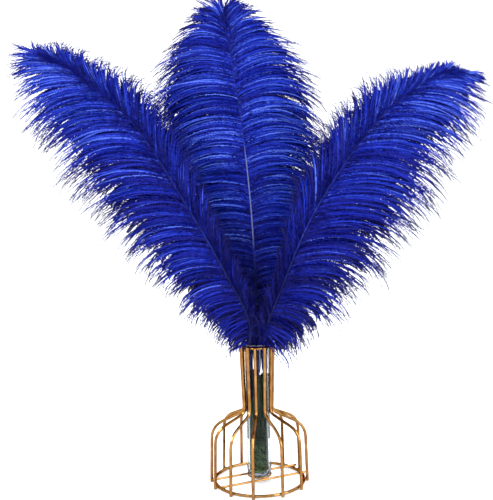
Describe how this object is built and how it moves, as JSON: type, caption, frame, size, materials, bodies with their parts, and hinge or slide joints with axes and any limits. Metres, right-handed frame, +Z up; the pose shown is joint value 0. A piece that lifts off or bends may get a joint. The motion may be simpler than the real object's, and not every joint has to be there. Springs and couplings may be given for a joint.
{
  "type": "ostrich feather arrangement",
  "caption": "Royal blue ostrich feathers standing in a glass tube inside a bottle-shaped cage vase of gold wire.",
  "frame": {"origin": "on the floor under the middle of the vase, which is under the middle of the whole object's bounds to within a few millimetres", "axes": "+Z up along the vase's axis, -Y towards the viewer at the front, +X to the viewer's right"},
  "size_m": [0.5154, 0.1161, 0.562],
  "materials": {
    "gold_wire": "satin gold plating on iron wire",
    "clear_glass": "clear, polished",
    "green_stem": "dark green waxed paper tape wound on a stem",
    "green_foam": "dark green granular floral foam",
    "blue_plume": "dyed royal blue, soft and slightly glossy"
  },
  "bodies": {
    "root": {"base_ring": "gold_wire", "cross_wire_back": "gold_wire", "cross_wire_front": "gold_wire", "feather_centre": "blue_plume", "feather_left": "blue_plume", "feather_right": "blue_plume", "foam_plug": "green_foam", "glass_tube": "clear_glass", "neck_ring": "gold_wire", "rib_01": "gold_wire", "rib_02": "gold_wire", "rib_03": "gold_wire", "rib_04": "gold_wire", "rib_05": "gold_wire", "rib_06": "gold_wire", "rib_07": "gold_wire", "rib_08": "gold_wire", "rib_09": "gold_wire", "rib_10": "gold_wire", "rib_11": "gold_wire", "rib_12": "gold_wire", "stem_centre": "green_stem", "stem_left": "green_stem", "stem_right": "green_stem", "tube_ring": "gold_wire"}
  },
  "joints": []
}
